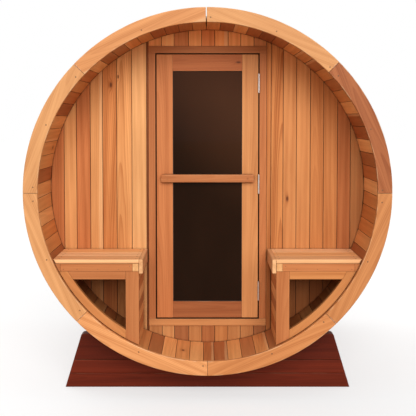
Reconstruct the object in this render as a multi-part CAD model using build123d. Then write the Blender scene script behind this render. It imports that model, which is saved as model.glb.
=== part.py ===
from build123d import *
import math
import os

# Barrel sauna: a lying barrel of straight staves on two cradles, with a
# recessed front wall that leaves a porch with two benches, and one hinged
# glazed door.  Millimetres.  X to the right, +Y from the front to the back,
# +Z up, origin on the floor under the middle of the barrel.

# ---------------------------------------------------------------- dimensions
LENGTH = 2438.0            # front face of front ring to back face of rear ring
AXIS_Z = 1216.0            # height of the barrel's axis over the floor
STAVE_IN = 981.0           # inner radius of the stave shell
STAVE_T = 38.0             # stave thickness
STAVES = 74                # regular staves round the barrel
CLOSER_DEG = 3.7           # one narrower closing stave at the keel, degrees
SHELL_JOINTS = [4, 11, 18, 26, 33]   # segment borders, staves from the crown joint
STAVE_PHASE = 90.4         # angle of the stave joint at the crown, degrees

RING_OUT = 1067.0          # trim ring outer radius
RING_IN = 982.0            # trim ring inner radius
RING_T = 24.0              # trim ring thickness
RING_GAP = 2.4             # butt joint gap between ring segments
RING_TOP_GAP = 5.6         # open joint at the crown
RING_JOINTS = [0.0, 45.0, 90.4, 135.9, 180.0, 224.5, 270.0, 314.5]   # degrees

PORCH = 490.0              # ring front face to front wall face
WALL_T = 38.0              # end wall boards
WALL_FIT = 0.3             # wall edge to stave clearance
REAR_RECESS = 60.0         # rear wall set in from the rear ring's back face

LEAF_HALF = 318.0          # door leaf half width
LEAF_TOP = 829.0           # leaf top, from the axis
LEAF_BOT = -824.0          # leaf bottom, from the axis
LEAF_T = 44.0
GAP = 5.0                  # clearance round the leaf
STILE_W = 102.0
RAIL_H = 104.0
GLASS_T = 8.0
GLASS_RECESS = 13.0        # glass face behind the leaf face
CASING_W = 45.0
CASING_PROUD = 8.0         # casing and leaf face in front of the wall boards
STOP_W = 12.0              # door stop lip
STOP_T = 12.0
SILL_H = 45.0

BAR_HALF = 290.0           # handle bar half length
BAR_Z0, BAR_Z1 = 33.0, 82.0
BAR_D = 40.0

KNUCKLE_R = 6.25
PIN_R = 3.0
HINGE_H = 121.0
HINGE_Z = [648.5, 20.5, -653.0]     # hinge centres, from the axis
PLATE_T = 1.6
DOOR_AXIS_X = LEAF_HALF + GAP / 2

BENCH_FRONT_D = 28.0       # bench front edge behind the ring's front face
SEAT_TOP = -388.0
SEAT_T = 26.0
SEAT_BOARDS = 3
SEAT_GAP = 4.0
NOSE_X0, NOSE_X1 = 377.0, 400.0
NOSE_H = 83.0
BEARER_X0, BEARER_W, BEARER_H = 402.0, 35.0, 44.0
APRON_T = 24.0
POST_X0, POST_X1 = 401.0, 478.0
FRAME_T = 38.0             # bench end frame thickness
TOPRAIL_H = 48.0
CURVE_W = 46.0             # curved rail, radial width
PANEL_T = 20.0
FIT = 0.5                  # bench ends to stave clearance

FLOOR_TOP = -846.0         # inside floor, from the axis
FLOOR_T = 26.0
FLOOR_BEARERS = 4

CRADLE_D = 300.0           # cradle front face behind the ring's front face
CRADLE_T = 80.0
CRADLE_BASE = 872.0        # half width on the floor
CRADLE_TOP = 771.0         # half width at the top
CRADLE_H = 331.0
CRADLE_R = 18.0            # upper corner rounding

HOOP_W = 32.0
HOOP_T = 1.6
HOOP_Y = [-1060.0, 0.0, 1060.0]
HOOP_LUG_ANGLE = -28.0
LUG_H, LUG_T, LUG_GAP = 24.0, 5.0, 34.0

# ------------------------------------------------------------ derived values
Y0 = -LENGTH / 2
Y1 = LENGTH / 2
SHELL_Y0 = Y0 + RING_T
SHELL_Y1 = Y1 - RING_T
STAVE_OUT = STAVE_IN + STAVE_T
PITCH = (360.0 - CLOSER_DEG) / STAVES
WALL_Y0 = Y0 + PORCH
WALL_Y1 = WALL_Y0 + WALL_T
FACE_Y = WALL_Y0 - CASING_PROUD          # front of leaf and casing
LEAF_Y1 = FACE_Y + LEAF_T
STOP_Y0 = LEAF_Y1 + GAP
STOP_Y1 = STOP_Y0 + STOP_T
REAR_Y1 = Y1 - REAR_RECESS
REAR_Y0 = REAR_Y1 - WALL_T
OPEN_HALF = LEAF_HALF + GAP              # doorway half width
OPEN_TOP = LEAF_TOP + GAP
OPEN_BOT = LEAF_BOT - GAP
CAS_HALF = OPEN_HALF + CASING_W
CAS_TOP = OPEN_TOP + CASING_W
SILL_BOT = OPEN_BOT - SILL_H
DOOR_AXIS_Y = FACE_Y - 6.0
BENCH_Y0 = Y0 + BENCH_FRONT_D
BENCH_Y1 = WALL_Y0 - 1.0

nodes = {}


# ------------------------------------------------------------------- helpers
def plane_at(y):
    """Local x is +X, local y is +Z from the barrel's axis, extrudes to -Y."""
    return Plane(origin=(0, y, AXIS_Z), x_dir=(1, 0, 0), z_dir=(0, -1, 0))


def prism(points, y0, y1):
    """Polygon given as (x, z from axis), extruded from y0 to y1."""
    face = make_face(Polyline(*[(p[0], p[1]) for p in points], close=True))
    return extrude(plane_at(y1) * face, amount=y1 - y0)


def block(x0, x1, y0, y1, z0, z1):
    """Axis-aligned block, z from the barrel's axis."""
    return Pos((x0 + x1) / 2, (y0 + y1) / 2, AXIS_Z + (z0 + z1) / 2) * Box(x1 - x0, y1 - y0, z1 - z0)


def disc(r, y0, y1):
    return extrude(plane_at(y1) * Circle(r), amount=y1 - y0)


def polar(r, a):
    return (r * math.cos(math.radians(a)), r * math.sin(math.radians(a)))


def sector(r0, r1, a0, a1, y0, y1):
    """Annular sector between two angles, extruded along Y."""
    am = (a0 + a1) / 2
    outer = ThreePointArc(polar(r1, a0), polar(r1, am), polar(r1, a1))
    side1 = Line(polar(r1, a1), polar(r0, a1))
    inner = ThreePointArc(polar(r0, a1), polar(r0, am), polar(r0, a0))
    side0 = Line(polar(r0, a0), polar(r1, a0))
    face = make_face([outer, side1, inner, side0])
    return extrude(plane_at(y1) * face, amount=y1 - y0)


def other_side(shape):
    """The mirror image across the middle plane."""
    return Compound(children=[s.mirror(Plane.YZ) for s in shape.solids()])


def both(shape):
    """The shape and its mirror image."""
    return Compound(children=[*shape.solids(), *other_side(shape).solids()])


def put(name, shape):
    nodes[name] = shape


# --------------------------------------------------------------- stave shell
SHELL_NAMES = ["shell_crown", "shell_left_shoulder", "shell_left_upper",
               "shell_left_middle", "shell_left_lower", "shell_keel",
               "shell_right_lower", "shell_right_middle", "shell_right_upper",
               "shell_right_shoulder"]
# segment borders fall on stave joints, counted both ways from the crown joint
lefts = [STAVE_PHASE + k * PITCH for k in SHELL_JOINTS]
rights = [STAVE_PHASE - k * PITCH for k in SHELL_JOINTS]
borders = [rights[0]] + lefts + [a + 360 for a in reversed(rights)]
for name, a0, a1 in zip(SHELL_NAMES, borders[:-1], borders[1:]):
    put(name, sector(STAVE_IN, STAVE_OUT, a0, a1, SHELL_Y0, SHELL_Y1))


# ---------------------------------------------------------------- trim rings
def trim_ring(y0, y1, top_gap):
    ring = disc(RING_OUT, y0, y1) - disc(RING_IN, y0 - 1, y1 + 1)
    for k, a in enumerate(RING_JOINTS):
        gap = top_gap if k == 2 else RING_GAP
        rm = (RING_OUT + RING_IN) / 2
        x, z = polar(rm, a)
        slot = Pos(x, (y0 + y1) / 2, AXIS_Z + z) * (Rot(0, -a, 0) * Box(140, (y1 - y0) + 4, gap))
        ring = ring - slot
    return ring


put("front_trim_ring", trim_ring(Y0, SHELL_Y0, RING_TOP_GAP))
put("rear_trim_ring", trim_ring(SHELL_Y1, Y1, RING_GAP))

# --------------------------------------------------------------- steel hoops
def hoop(y):
    r0 = STAVE_OUT + 0.3
    r1 = r0 + HOOP_T
    half = math.degrees(LUG_GAP / 2 / r0)
    a0 = HOOP_LUG_ANGLE + half
    a1 = HOOP_LUG_ANGLE - half + 360
    band = sector(r0, r1, a0, (a0 + a1) / 2, y - HOOP_W / 2, y + HOOP_W / 2)
    band = band + sector(r0, r1, (a0 + a1) / 2, a1, y - HOOP_W / 2, y + HOOP_W / 2)
    x, z = polar(r0 + LUG_H / 2, HOOP_LUG_ANGLE)
    base = Pos(x, y, AXIS_Z + z) * Rot(0, -HOOP_LUG_ANGLE, 0)
    for s in (-1, 1):
        band = band + base * (Pos(0.3, 0, s * (LUG_GAP / 2 - LUG_T / 2 + 1.2)) * Box(LUG_H, HOOP_W, LUG_T))
    band = band + base * (Pos(1.5, 0, 0) * Cylinder(4.0, LUG_GAP + 34))
    for s in (-1, 1):
        nut = extrude(RegularPolygon(8.0, 6), amount=6)
        band = band + base * (Pos(1.5, 0, s * (LUG_GAP / 2 + 1.0) + (0 if s > 0 else -6)) * nut)
    return band


hoops = [hoop(y) for y in HOOP_Y]
put("steel_hoops", Compound(children=[s for h in hoops for s in h.solids()]))

# ---------------------------------------------------------------- front wall
wall_disc = disc(STAVE_IN - WALL_FIT, WALL_Y0, WALL_Y1)
BIG = 1200.0
put("front_wall_left", wall_disc & block(-BIG, -CAS_HALF, WALL_Y0 - 5, WALL_Y1 + 5, -BIG, BIG))
put("front_wall_right", wall_disc & block(CAS_HALF, BIG, WALL_Y0 - 5, WALL_Y1 + 5, -BIG, BIG))
put("front_wall_over_door", wall_disc & block(-CAS_HALF, CAS_HALF, WALL_Y0 - 5, WALL_Y1 + 5, CAS_TOP, BIG))
put("front_wall_under_door", wall_disc & block(-CAS_HALF, CAS_HALF, WALL_Y0 - 5, WALL_Y1 + 5, -BIG, SILL_BOT))

# ----------------------------------------------------------------- rear wall
put("rear_wall", disc(STAVE_IN - WALL_FIT, REAR_Y0, REAR_Y1))

# --------------------------------------------------------------- door casing
jamb = (block(OPEN_HALF, CAS_HALF, FACE_Y, STOP_Y1, OPEN_BOT, OPEN_TOP)
        + block(OPEN_HALF - STOP_W, OPEN_HALF, STOP_Y0, STOP_Y1, OPEN_BOT, OPEN_TOP))
put("door_jambs", both(jamb))
put("door_head", block(-CAS_HALF, CAS_HALF, FACE_Y, STOP_Y1, OPEN_TOP, CAS_TOP)
    + block(-OPEN_HALF + STOP_W, OPEN_HALF - STOP_W, STOP_Y0, STOP_Y1, OPEN_TOP - STOP_W, OPEN_TOP))
put("door_sill", block(-CAS_HALF, CAS_HALF, FACE_Y - 3, STOP_Y1, SILL_BOT, OPEN_BOT)
    + block(-OPEN_HALF + STOP_W, OPEN_HALF - STOP_W, STOP_Y0, STOP_Y1, OPEN_BOT, OPEN_BOT + STOP_W))

# ----------------------------------------------------------------- door leaf
glass_half = LEAF_HALF - STILE_W
stile = block(glass_half, LEAF_HALF, FACE_Y, LEAF_Y1, LEAF_BOT, LEAF_TOP)
put("door_stiles", both(stile))
put("door_rails", Compound(children=[
    *block(-glass_half, glass_half, FACE_Y, LEAF_Y1, LEAF_TOP - RAIL_H, LEAF_TOP).solids(),
    *block(-glass_half, glass_half, FACE_Y, LEAF_Y1, LEAF_BOT, LEAF_BOT + RAIL_H).solids()]))
put("door_glass", block(-glass_half, glass_half, FACE_Y + GLASS_RECESS, FACE_Y + GLASS_RECESS + GLASS_T,
                        LEAF_BOT + RAIL_H, LEAF_TOP - RAIL_H))

# handle bar: a rounded wooden bar across the glass, fixed to both stiles
bar = block(-BAR_HALF, BAR_HALF, FACE_Y - BAR_D, FACE_Y, BAR_Z0, BAR_Z1)
bar = fillet(bar.edges().filter_by(Axis.Y), 14)
bar = fillet(bar.faces().sort_by(Axis.Y)[0].edges(), 5)
put("door_handle_bar", bar)

# ------------------------------------------------------------------- hinges
KN = [HINGE_H * 0.29, HINGE_H * 0.42, HINGE_H * 0.29]     # fixed, moving, fixed
AX = 0.25                                                  # half axial gap
moving, fixed = [], []
for hz in HINGE_Z:
    zt = hz + HINGE_H / 2
    zb = hz - HINGE_H / 2
    m0, m1 = zb + KN[2], zt - KN[0]

    def knuckle(z0, z1, r=KNUCKLE_R):
        return Pos(DOOR_AXIS_X, DOOR_AXIS_Y, AXIS_Z + (z0 + z1) / 2) * Cylinder(r, z1 - z0)

    # fixed half: end knuckles, the pin through the middle, the plate on the jamb
    lower = knuckle(zb, m0 - AX)
    lower = fillet(lower.edges().filter_by(GeomType.CIRCLE).sort_by(Axis.Z)[0], 2)
    upper = knuckle(m1 + AX, zt)
    upper = fillet(upper.edges().filter_by(GeomType.CIRCLE).sort_by(Axis.Z)[-1], 2)
    pin = knuckle(m0 - 2, m1 + 2, PIN_R)
    plate_f = block(LEAF_HALF + GAP - PLATE_T, LEAF_HALF + GAP, DOOR_AXIS_Y, FACE_Y + 34, zb + 1, zt - 1)
    plate_f = plate_f - knuckle(m0 - AX, m1 + AX, KNUCKLE_R + 0.6)
    fixed.append(lower + upper + pin + plate_f)
    # moving half: middle knuckle bored for the pin, the plate on the leaf
    mid = knuckle(m0 + AX, m1 - AX)
    plate_m = block(LEAF_HALF, LEAF_HALF + PLATE_T, DOOR_AXIS_Y, FACE_Y + 34, zb + 1, zt - 1)
    plate_m = plate_m - knuckle(zb - 1, m0 + AX, KNUCKLE_R + 0.6) - knuckle(m1 - AX, zt + 1, KNUCKLE_R + 0.6)
    moving.append((mid + plate_m) - knuckle(m0, m1, PIN_R + 0.3))
put("hinge_door_halves", Compound(children=[s for h in moving for s in h.solids()]))
put("hinge_jamb_halves", Compound(children=[s for h in fixed for s in h.solids()]))

# ------------------------------------------------------------------- benches
inside = disc(STAVE_IN - FIT, Y0 - 50, Y1)
board_w = (BENCH_Y1 - BENCH_Y0 - (SEAT_BOARDS - 1) * SEAT_GAP) / SEAT_BOARDS
seat_bot = SEAT_TOP - SEAT_T
boards = []
for i in range(SEAT_BOARDS):
    y = BENCH_Y0 + i * (board_w + SEAT_GAP)
    b = block(NOSE_X1, 960, y, y + board_w, seat_bot, SEAT_TOP)
    if i == 0:
        front = b.edges().filter_by(Axis.X).group_by(Axis.Y)[0]
        b = fillet(front, 11)
    b = b & inside
    boards.append(b)
seat = Compound(children=[s for b in boards for s in b.solids()])
put("right_bench_seat", seat)
put("left_bench_seat", other_side(seat))

nose = block(NOSE_X0, NOSE_X1, BENCH_Y0 - 1, BENCH_Y1, SEAT_TOP - NOSE_H, SEAT_TOP)
nose = fillet(nose.edges().filter_by(Axis.Y), 6)
put("right_bench_nosing", nose)
put("left_bench_nosing", other_side(nose))

bearer_top = seat_bot
bearer_bot = seat_bot - BEARER_H
outer_x0 = 858.0
bearers = [block(BEARER_X0, BEARER_X0 + BEARER_W, BENCH_Y0 + 4, BENCH_Y1, bearer_bot, bearer_top),
           block(outer_x0, outer_x0 + BEARER_W, BENCH_Y0 + 4, BENCH_Y1, bearer_bot, bearer_top) & inside]
put("bench_bearers", Compound(children=[s for b in bearers for s in both(b).solids()]))

apron = block(BEARER_X0 + BEARER_W + 0.5, outer_x0 - 0.5, BENCH_Y0 + 4, BENCH_Y0 + 4 + APRON_T, bearer_bot, bearer_top)
put("right_bench_apron", apron)
put("left_bench_apron", other_side(apron))

frame_y0 = BENCH_Y0 + 8
frame_y1 = frame_y0 + FRAME_T
rail_bot = bearer_bot - TOPRAIL_H
post = block(POST_X0, POST_X1, frame_y0, frame_y1, -BIG, bearer_bot) & inside
put("bench_posts", both(post))
rail_end = disc(STAVE_IN - FIT - CURVE_W - 0.3, Y0 - 50, Y1)
top_rail = block(POST_X1, BIG, frame_y0, frame_y1, rail_bot, bearer_bot) & rail_end
put("bench_top_rails", both(top_rail))
curve = sector(STAVE_IN - FIT - CURVE_W, STAVE_IN - FIT, -75, -15, frame_y0, frame_y1)
curve = curve & block(POST_X1, BIG, frame_y0 - 1, frame_y1 + 1, -BIG, bearer_bot)
put("bench_curved_rails", both(curve))
panel = block(POST_X0 + 1, POST_X0 + 1 + PANEL_T, frame_y1, BENCH_Y1, -BIG, bearer_bot) & inside
put("right_bench_side_panel", panel)
put("left_bench_side_panel", other_side(panel))

# -------------------------------------------------------------- inside floor
floor_bot = FLOOR_TOP - FLOOR_T
floor_half = math.sqrt((STAVE_IN - FIT) ** 2 - floor_bot ** 2) - 2
floor_y0 = STOP_Y1 + 6
floor_y1 = REAR_Y0 - 4
put("interior_floor", block(-floor_half, floor_half, floor_y0, floor_y1, floor_bot, FLOOR_TOP))
bear = []
for i in range(FLOOR_BEARERS):
    y = floor_y0 + 60 + i * (floor_y1 - floor_y0 - 120 - 45) / (FLOOR_BEARERS - 1)
    bear.append(block(-floor_half, floor_half, y, y + 45, -BIG, floor_bot) & inside)
put("floor_bearers", Compound(children=[s for b in bear for s in b.solids()]))

# ------------------------------------------------------------------- cradles
def cradle(y0, y1):
    z0 = -AXIS_Z
    z1 = CRADLE_H - AXIS_Z
    body = prism([(-CRADLE_BASE, z0), (CRADLE_BASE, z0), (CRADLE_TOP, z1), (-CRADLE_TOP, z1)], y0, y1)
    corners = body.edges().filter_by(Axis.Y).group_by(Axis.Z)[-1]
    body = fillet(corners, CRADLE_R)
    return body - disc(STAVE_OUT + 0.3, y0 - 1, y1 + 1)


cradle_y0 = Y0 + CRADLE_D
put("front_cradle", cradle(cradle_y0, cradle_y0 + CRADLE_T))
put("rear_cradle", cradle(-cradle_y0 - CRADLE_T, -cradle_y0))

# -------------------------------------------------------------------- export
os.makedirs("parts", exist_ok=True)
for name, shape in nodes.items():
    export_step(shape, os.path.join("parts", name + ".step"))
print(len(nodes), "nodes written")
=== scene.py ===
import math
import random

import bmesh
import bpy
import numpy as np
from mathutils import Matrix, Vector


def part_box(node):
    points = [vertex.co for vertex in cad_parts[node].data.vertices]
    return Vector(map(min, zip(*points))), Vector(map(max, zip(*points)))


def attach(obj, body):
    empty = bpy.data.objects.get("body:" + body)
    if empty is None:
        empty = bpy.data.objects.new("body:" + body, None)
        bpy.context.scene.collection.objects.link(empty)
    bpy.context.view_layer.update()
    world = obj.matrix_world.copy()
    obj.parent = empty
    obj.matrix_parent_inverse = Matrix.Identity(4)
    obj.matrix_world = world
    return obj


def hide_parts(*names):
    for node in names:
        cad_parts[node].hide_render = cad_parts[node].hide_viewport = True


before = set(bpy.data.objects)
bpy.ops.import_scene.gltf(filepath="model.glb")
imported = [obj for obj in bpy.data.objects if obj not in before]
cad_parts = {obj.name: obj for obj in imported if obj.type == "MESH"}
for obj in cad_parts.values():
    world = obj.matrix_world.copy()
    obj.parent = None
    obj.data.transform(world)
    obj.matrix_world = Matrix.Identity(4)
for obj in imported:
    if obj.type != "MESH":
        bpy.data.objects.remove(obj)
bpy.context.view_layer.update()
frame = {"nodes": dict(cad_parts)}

# Looks of the barrel sauna.  Metres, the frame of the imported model: X to the
# right, +Y from the door end to the rear, +Z up, floor at Z = 0.  Heights
# called z below are measured from the barrel's axis, as in the model.

# ------------------------------------------------------------------ sizes
ring_lo, ring_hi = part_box("front_trim_ring")
rear_lo, rear_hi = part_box("rear_trim_ring")
AX = (ring_lo.z + ring_hi.z) / 2                 # height of the barrel's axis
R_OUT = (ring_hi.x - ring_lo.x) / 2              # trim ring outer radius
R_IN = 0.982                                     # trim ring inner radius
Y0, Y1 = ring_lo.y, rear_hi.y
SH0, SH1 = ring_hi.y, rear_lo.y                  # ends of the staves
S_IN, S_OUT = 0.981, 1.019                       # stave shell radii
CLOSER = 3.7
PITCH = (360.0 - CLOSER) / 74
PHASE = 90.4
WALL_R = S_IN - 0.0003
W0, W1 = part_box("front_wall_left")[0].y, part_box("front_wall_left")[1].y
RW0, RW1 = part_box("rear_wall")[0].y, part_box("rear_wall")[1].y
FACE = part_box("door_stiles")[0].y                # leaf and casing face
LEAF1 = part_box("door_stiles")[1].y
STOP1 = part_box("door_jambs")[1].y
STOP0 = STOP1 - 0.012
LEAF_HALF, OPEN_HALF, CAS_HALF = 0.318, 0.323, 0.368
LEAF_TOP, LEAF_BOT = 0.829, -0.824
OPEN_TOP, OPEN_BOT, CAS_TOP, SILL_BOT = 0.834, -0.829, 0.879, -0.874
STILE_W, RAIL_H = 0.102, 0.104
B0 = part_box("right_bench_seat")[0].y             # bench front edge
B1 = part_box("right_bench_seat")[1].y
SEAT_TOP, SEAT_BOT, BEAR_BOT, RAIL_BOT = -0.388, -0.414, -0.458, -0.506
FR0 = B0 + 0.008                                 # bench end frame
FR1 = FR0 + 0.038
FL0, FL1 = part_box("interior_floor")[0].y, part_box("interior_floor")[1].y
FLOOR_TOP, FLOOR_BOT = -0.846, -0.872
CR0, CR1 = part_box("front_cradle")[0].y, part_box("front_cradle")[1].y
RC0, RC1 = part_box("rear_cradle")[0].y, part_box("rear_cradle")[1].y

# ------------------------------------------------------------- wood tones
# linear base colours of the cedar's named tones
TONES = {
    "sat_on": (0.82, 0.545, 0.300),
    "sat_edge": (0.77, 0.45, 0.222),
    "palest": (0.74, 0.425, 0.185),
    "light": (0.65, 0.337, 0.133),
    "mid": (0.56, 0.262, 0.097),
    "orange": (0.56, 0.238, 0.079),
    "reddish": (0.47, 0.180, 0.063),
    "redder": (0.46, 0.158, 0.054),
    "brown": (0.40, 0.163, 0.062),
    "dark": (0.34, 0.122, 0.044),
    "darkest": (0.25, 0.082, 0.030),
    "mahogany": (0.098, 0.0125, 0.0040),
}


def tone(name, rng, gain=1.0, spread=0.05):
    """A named tone with a little variation of its own for one board."""
    base = TONES[name]
    v = gain * (1 + rng.uniform(-spread, spread))
    h = rng.uniform(-1, 1) * spread * 0.6
    return (base[0] * v * (1 + 0.2 * h), base[1] * v * (1 + 0.7 * h), base[2] * v * (1 + 1.2 * h))


# --------------------------------------------------------- board modelling
def rounded(points, k=3):
    """Outline with rounded corners.  A point is (u, v) or (u, v, radius)."""
    out, arc = [], []
    n = len(points)
    for i, p in enumerate(points):
        r = p[2] if len(p) > 2 else 0.0
        b = np.array(p[:2], float)
        if r <= 0:
            out.append(b)
            arc.append(False)
            continue
        a = np.array(points[i - 1][:2], float)
        c = np.array(points[(i + 1) % n][:2], float)
        la, lc = np.linalg.norm(a - b), np.linalg.norm(c - b)
        d1, d2 = (a - b) / la, (c - b) / lc
        phi = math.acos(max(-1, min(1, float(d1 @ d2))))
        t = min(r / math.tan(phi / 2), 0.48 * min(la, lc))
        r = t * math.tan(phi / 2)
        mid = d1 + d2
        centre = b + mid / np.linalg.norm(mid) * (r / math.sin(phi / 2))
        p1, p2 = b + d1 * t - centre, b + d2 * t - centre
        a1, a2 = math.atan2(p1[1], p1[0]), math.atan2(p2[1], p2[0])
        turn = (a2 - a1 + math.pi) % (2 * math.pi) - math.pi
        for j in range(k + 1):
            q = a1 + turn * j / k
            out.append(centre + r * np.array([math.cos(q), math.sin(q)]))
            arc.append(j < k)
    return np.array(out), arc


def inset(P, d, mask):
    """Outline P moved inwards by d, times each edge's own mask."""
    e = np.roll(P, -1, 0) - P
    ln = np.maximum(np.linalg.norm(e, axis=1), 1e-9)
    nrm = np.stack([-e[:, 1], e[:, 0]], 1) / ln[:, None]
    n1, n2 = np.roll(nrm, 1, 0), nrm
    d1, d2 = d * np.roll(mask, 1), d * mask
    det = n1[:, 0] * n2[:, 1] - n1[:, 1] * n2[:, 0]
    flat = np.abs(det) < 0.08
    safe = np.where(flat, 1, det)
    sx = (n2[:, 1] * d1 - n1[:, 1] * d2) / safe
    sy = (-n2[:, 0] * d1 + n1[:, 0] * d2) / safe
    mean = (n1 * d1[:, None] + n2 * d2[:, None]) / 2
    move = np.where(flat[:, None], mean, np.stack([sx, sy], 1))
    return P + move


class Boards:
    """Many boards gathered into one mesh, each with its own grain, tone and figure."""

    def __init__(self, name):
        self.name = name
        self.co, self.faces, self.edge, self.fdir = [], [], [], []
        self.grain, self.tone, self.feat, self.knot = [], [], [], []
        self.count = 0

    def add(self, pts, w0, w1, origin, U, V, W, along, across, colour, rng, e0=0.002, e1=0.002,
            steps=3, k=3, mask=None, pith=None, sap=9.0, fig=1.0, knot=None, middle=None, endgain=1.0):
        """A board: outline pts in the U, V plane, drawn out along W from w0 to w1.

        e0 and e1 are the edge roundings at its two ends, mask weakens them on
        single edges, middle is a list of (w, outline) stations between.
        along and across are the grain's directions in (U, V, W) parts.
        """
        U, V, W, origin = (np.array(x, float) for x in (U, V, W, origin))
        radii = [q[2] if len(q) > 2 else 0.0 for q in pts]
        m = np.ones(len(pts)) if mask is None else np.array(mask, float)   # one value for each point's outgoing edge

        def outline_at(points, d):
            """The outline d inside its full size, corners still rounded."""
            Q = inset(np.array([q[:2] for q in points], float), d, m)
            return rounded([(*q, max(r - d, 0.3 * r)) if r > 0 else tuple(q) for q, r in zip(Q, radii)], k)

        P, arc = outline_at(pts, 0.0)
        n = len(P)
        layers = []
        for s in range(steps + 1 if e0 > 0 else 1):
            q = math.pi / 2 * s / steps if e0 > 0 else math.pi / 2
            layers.append((w0 + (e0 * (1 - math.cos(q)) if e0 > 0 else 0), outline_at(pts, e0 * (1 - math.sin(q)))[0], e0 > 0 and s < steps))
        for w, Q in (middle or []):
            layers.append((w, outline_at(Q, 0.0)[0], False))
        last = pts if not middle else middle[-1][1]
        for s in range(steps, -1, -1) if e1 > 0 else [0]:
            q = math.pi / 2 * s / steps if e1 > 0 else math.pi / 2
            layers.append((w1 - (e1 * (1 - math.cos(q)) if e1 > 0 else 0), outline_at(last, e1 * (1 - math.sin(q)))[0], e1 > 0))
        base = self.count
        local = np.concatenate([np.column_stack([Q, np.full(n, w)]) for w, Q, _ in layers])
        co = origin + local[:, :1] * U + local[:, 1:2] * V + local[:, 2:] * W
        right = float(np.dot(np.cross(U, V), W)) > 0
        L = len(layers)
        faces, edge = [], []
        for j in range(L - 1):
            rim = layers[j][2] if j < L // 2 else layers[j][2] and j + 1 < L
            for i in range(n):
                i2 = (i + 1) % n
                quad = [base + j * n + i, base + j * n + i2, base + (j + 1) * n + i2, base + (j + 1) * n + i]
                faces.append(quad if right else quad[::-1])
                edge.append(1.0 if (rim or arc[i]) else 0.0)
        low = [base + i for i in range(n)][::-1]
        high = [base + (L - 1) * n + i for i in range(n)]
        for cap in (low, high):
            faces.append(cap if right else cap[::-1])
            edge.append(0.0)
        G = along[0] * U + along[1] * V + along[2] * W
        G = G / np.linalg.norm(G)
        A = across[0] * U + across[1] * V + across[2] * W
        A = A - (A @ G) * G
        A = A / np.linalg.norm(A)
        D = np.cross(G, A)
        c = (co.min(0) + co.max(0)) / 2
        g, a, d = (co - c) @ G, (co - c) @ A, (co - c) @ D
        half = max(1e-6, np.abs(a).max())
        if pith is None:
            pith = (rng.uniform(-0.16, 0.16), rng.choice([-1, 1]) * rng.uniform(0.02, 0.12))
        off = rng.uniform(0, 60)
        self.co.append(co)
        self.faces += faces
        self.edge += edge
        self.fdir += [tuple(G)] * len(faces)
        self.grain.append(np.column_stack([g + off, a - pith[0], d - pith[1]]))
        self.tone.append(np.tile(np.array([*colour, endgain]), (len(co), 1)))
        self.feat.append(np.column_stack([a / half, np.full(len(co), sap), np.full(len(co), fig)]))
        if knot is None:
            self.knot.append(np.tile([9.0, 9.0, 1.0], (len(co), 1)))
        else:
            kp = np.array(knot[:3], float)
            self.knot.append(np.column_stack([(co - kp) @ G, (co - kp) @ A, np.full(len(co), knot[3])]))
        self.count += len(co)

    # the four ways in which boards lie here
    def facing(self, pts, y0, y1, along, across, colour, rng, back=0.0015, front=0.0025, **kw):
        """Outline in x and z, thickness along Y; front is the rounding at y0."""
        self.add(pts, -y1, -y0, (0, 0, AX), (1, 0, 0), (0, 0, 1), (0, -1, 0), (*along, 0), (*across, 0), colour, rng, e0=back, e1=front, **kw)

    def upright(self, pts, z0, z1, colour, rng, e=0.0015, across=(1, 0, 0), **kw):
        """Outline in x and y, drawn up along Z with the grain."""
        self.add(pts, z0, z1, (0, 0, AX), (1, 0, 0), (0, 1, 0), (0, 0, 1), (0, 0, 1), across, colour, rng, e0=e, e1=e, **kw)

    def level(self, pts, x0, x1, colour, rng, e=0.0015, across=(0, 1, 0), **kw):
        """Outline in y and z, drawn out along X with the grain."""
        self.add(pts, x0, x1, (0, 0, AX), (0, 1, 0), (0, 0, 1), (1, 0, 0), (0, 0, 1), across, colour, rng, e0=e, e1=e, **kw)

    def inward(self, pts, y0, y1, colour, rng, front=0.002, back=0.0015, across=(1, 0, 0), **kw):
        """Outline in x and z, drawn back along Y with the grain."""
        self.add(pts, -y1, -y0, (0, 0, AX), (1, 0, 0), (0, 0, 1), (0, -1, 0), (0, 0, 1), across, colour, rng, e0=back, e1=front, **kw)

    def make(self, material, body, slot, nodes=(), sharp=38, turn=False):
        me = bpy.data.meshes.new(self.name)
        co = np.concatenate(self.co)
        me.from_pydata(co.tolist(), [], self.faces)
        me.update()
        for key, kind, data in (("grain", "FLOAT_VECTOR", self.grain), ("feat", "FLOAT_VECTOR", self.feat), ("knot", "FLOAT_VECTOR", self.knot)):
            at = me.attributes.new(key, kind, "POINT")
            at.data.foreach_set("vector", np.concatenate(data).astype(np.float32).ravel())
        at = me.attributes.new("tone", "FLOAT_COLOR", "POINT")
        at.data.foreach_set("color", np.concatenate(self.tone).astype(np.float32).ravel())
        if turn:                                 # faces written without regard to their side
            bm = bmesh.new()
            bm.from_mesh(me)
            bmesh.ops.recalc_face_normals(bm, faces=bm.faces)
            bm.to_mesh(me)
            bm.free()
        nrm = np.zeros(len(me.polygons) * 3, np.float32)
        me.polygons.foreach_get("normal", nrm)
        dots = np.abs((nrm.reshape(-1, 3) * np.array(self.fdir)).sum(1))
        at = me.attributes.new("endgrain", "FLOAT", "FACE")
        at.data.foreach_set("value", (dots > 0.8).astype(np.float32))
        at = me.attributes.new("rim", "FLOAT", "FACE")
        at.data.foreach_set("value", np.array(self.edge, np.float32))
        return finish_mesh(me, self.name, material, body, nodes, sharp)


def finish_mesh(me, name, material, body, nodes=(), sharp=38, weighted=True):
    me.validate(clean_customdata=False)
    me.polygons.foreach_set("use_smooth", [True] * len(me.polygons))
    me.set_sharp_from_angle(angle=math.radians(sharp))
    ob = bpy.data.objects.new(name, me)
    bpy.context.scene.collection.objects.link(ob)
    ob.data.materials.append(material)
    if weighted:
        mod = ob.modifiers.new("faces_stay_flat", "WEIGHTED_NORMAL")
        mod.keep_sharp = True
        mod.mode = "FACE_AREA"
        mod.weight = 80
    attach(ob, body)
    if nodes:
        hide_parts(*nodes)
    return ob


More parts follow.
